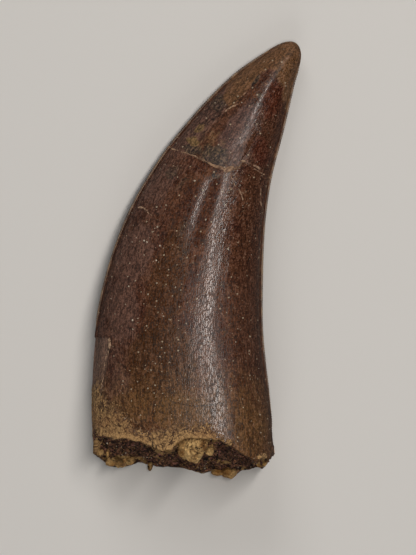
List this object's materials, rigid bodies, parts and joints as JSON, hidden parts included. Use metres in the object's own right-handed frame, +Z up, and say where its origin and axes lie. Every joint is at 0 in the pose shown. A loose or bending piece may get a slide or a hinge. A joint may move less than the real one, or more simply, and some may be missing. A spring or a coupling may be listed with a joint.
{
  "type": "fossil dinosaur tooth",
  "caption": "Curved, flattened fossil tooth crown with two cutting edges, a mended break near its tip and a ragged broken base, lying on its flatter side.",
  "frame": {"origin": "on the table, under the middle of the tooth's outline", "axes": "+Y from the broken base to the tip, +X towards the back (distal) cutting edge, +Z up from the table through the cheek face"},
  "size_m": [0.0442, 0.092, 0.0209],
  "materials": {
    "fossil_enamel": "dark brown fossil enamel with a soft polish, tan sandstone and rough dark dentine at the broken base"
  },
  "bodies": {
    "root": {"tooth": "fossil_enamel"}
  },
  "joints": []
}
